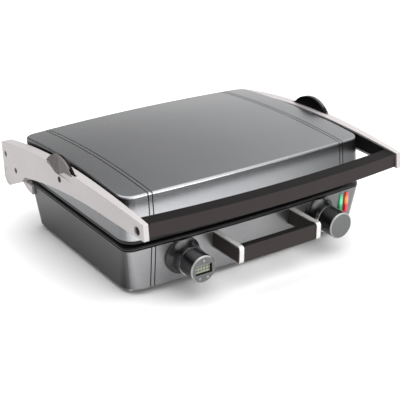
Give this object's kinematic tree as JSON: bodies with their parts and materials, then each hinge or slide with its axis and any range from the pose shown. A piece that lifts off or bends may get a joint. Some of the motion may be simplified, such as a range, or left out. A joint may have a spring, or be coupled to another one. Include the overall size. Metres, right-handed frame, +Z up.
{
  "type": "panini press",
  "caption": "Electric panini press: ridged base and floating lid carried by two cast arms with a long front handle, side levers, front controls, carry handle and side drip tray.",
  "frame": {"origin": "on the table surface, under the middle of the closed press's bounding box", "axes": "+X to the right seen from the front, +Y to the rear (hinge side), +Z up; the front handle faces -Y"},
  "size_m": [0.4154, 0.3766, 0.1525],
  "materials": {
    "housing_metal": "satin metallic grey paint on sheet steel",
    "lid_metal": "satin metallic grey paint on sheet steel",
    "trim_steel": "fine brushed",
    "frame_plastic": "heat resistant moulding",
    "cover_plastic": "fine textured",
    "foot_rubber": "matte",
    "nonstick_plate": "cast, black nonstick coating",
    "heater_steel": "heat tinted tube",
    "reflector_sheet": "mill finish",
    "tray_enamel": "black enamel",
    "arm_cast": "die cast, satin",
    "liner_plastic": "fine grain",
    "handle_plastic": "satin dark brown-grey",
    "band_chrome": "bright",
    "face_metal": "satin, bright bevel",
    "control_black": "gloss black",
    "bezel_black": "matte",
    "display_glass": "greenish grey liquid crystal display",
    "circuit_board": "green board",
    "button_metal": "satin",
    "lamp_green_lens": "translucent green",
    "lamp_red_lens": "translucent orange-red",
    "inner_plastic": "plain moulding",
    "gland_plastic": "matte",
    "lever_steel": "black satin",
    "grip_plastic": "brown-grey, fine ribs",
    "slide_nylon": "self-lubricating nylon",
    "pin_steel": "ground",
    "black_screws": "blackened"
  },
  "bodies": {
    "base": {"base_shell": "housing_metal", "bottom_cover": "cover_plastic", "cover_screws": "pin_steel", "feet": "foot_rubber", "base_frame": "frame_plastic", "base_trim": "trim_steel", "lower_plate": "nonstick_plate", "lower_heater": "heater_steel", "lower_reflector": "reflector_sheet", "cord_gland": "gland_plastic", "terminal_block": "inner_plastic", "thermostat_body": "inner_plastic", "timer_pedestal": "control_black", "thermostat_pedestal": "control_black", "seam_rings": "band_chrome", "timer_housing": "control_black", "timer_face": "face_metal", "timer_bezel": "bezel_black", "timer_display": "display_glass", "timer_board": "circuit_board", "lamp_green": "lamp_green_lens", "lamp_red": "lamp_red_lens", "lamp_holder": "inner_plastic", "carry_handle_sides": "handle_plastic", "carry_handle_bands": "band_chrome", "carry_handle_bar": "handle_plastic", "hinge_bracket_left": "arm_cast", "hinge_bracket_right": "arm_cast", "hinge_pins": "pin_steel", "bracket_bolts": "pin_steel"},
    "arms": {"arm_left": "arm_cast", "arm_right": "arm_cast", "arm_liner_left": "liner_plastic", "arm_liner_right": "liner_plastic", "pivot_caps": "arm_cast", "arm_screws": "black_screws", "handle_bar": "handle_plastic", "lever_pins": "pin_steel"},
    "carrier": {"slide_blocks": "slide_nylon"},
    "lid": {"lid_pins": "pin_steel", "lid_shell": "lid_metal", "lid_frame": "frame_plastic", "lid_trim": "trim_steel", "upper_plate": "nonstick_plate", "upper_heater": "heater_steel", "upper_reflector": "reflector_sheet"},
    "lever_left": {"lever_plate_left": "lever_steel", "lever_grip_left": "grip_plastic"},
    "lever_right": {"lever_plate_right": "lever_steel", "lever_grip_right": "grip_plastic"},
    "thermostat": {"thermostat_shaft": "pin_steel", "thermostat_knob": "control_black", "thermostat_cap": "face_metal"},
    "button_top": {"timer_button_top": "button_metal"},
    "button_left": {"timer_button_left": "button_metal"},
    "button_right": {"timer_button_right": "button_metal"},
    "tray": {"drip_tray": "tray_enamel"}
  },
  "joints": [
    {"name": "arm_hinge", "type": "hinge", "parent": "base", "child": "arms", "pos_m": [0, 0.1715, 0.0698], "axis": [-1, 0, 0], "range_deg": [0, 175]},
    {"name": "lid_float", "type": "slide", "parent": "arms", "child": "carrier", "axis": [0, 0, 1], "range_m": [0, 0.012]},
    {"name": "lid_tilt", "type": "hinge", "parent": "carrier", "child": "lid", "pos_m": [0, 0.0125, 0.116], "axis": [1, 0, 0], "range_deg": [-1.5, 1.5]},
    {"name": "lever_left_turn", "type": "hinge", "parent": "arms", "child": "lever_left", "pos_m": [-0.2026, 0.0125, 0.1205], "axis": [1, 0, 0], "range_deg": [0, 12]},
    {"name": "lever_right_turn", "type": "hinge", "parent": "arms", "child": "lever_right", "pos_m": [0.2026, 0.0125, 0.1205], "axis": [1, 0, 0], "range_deg": [0, 12]},
    {"name": "thermostat_turn", "type": "hinge", "parent": "base", "child": "thermostat", "pos_m": [0.1093, -0.15, 0.0434], "axis": [0, 1, 0], "range_deg": [0, 270]},
    {"name": "timer_button_top_press", "type": "slide", "parent": "base", "child": "button_top", "axis": [0, 1, 0], "range_m": [0, 0.0008], "stiffness_N_per_m": 300},
    {"name": "timer_button_left_press", "type": "slide", "parent": "base", "child": "button_left", "axis": [0, 1, 0], "range_m": [0, 0.0008], "stiffness_N_per_m": 300},
    {"name": "timer_button_right_press", "type": "slide", "parent": "base", "child": "button_right", "axis": [0, 1, 0], "range_m": [0, 0.0008], "stiffness_N_per_m": 300},
    {"name": "drip_tray_slide", "type": "slide", "parent": "base", "child": "tray", "axis": [1, 0, 0], "range_m": [0, 0.1]}
  ]
}
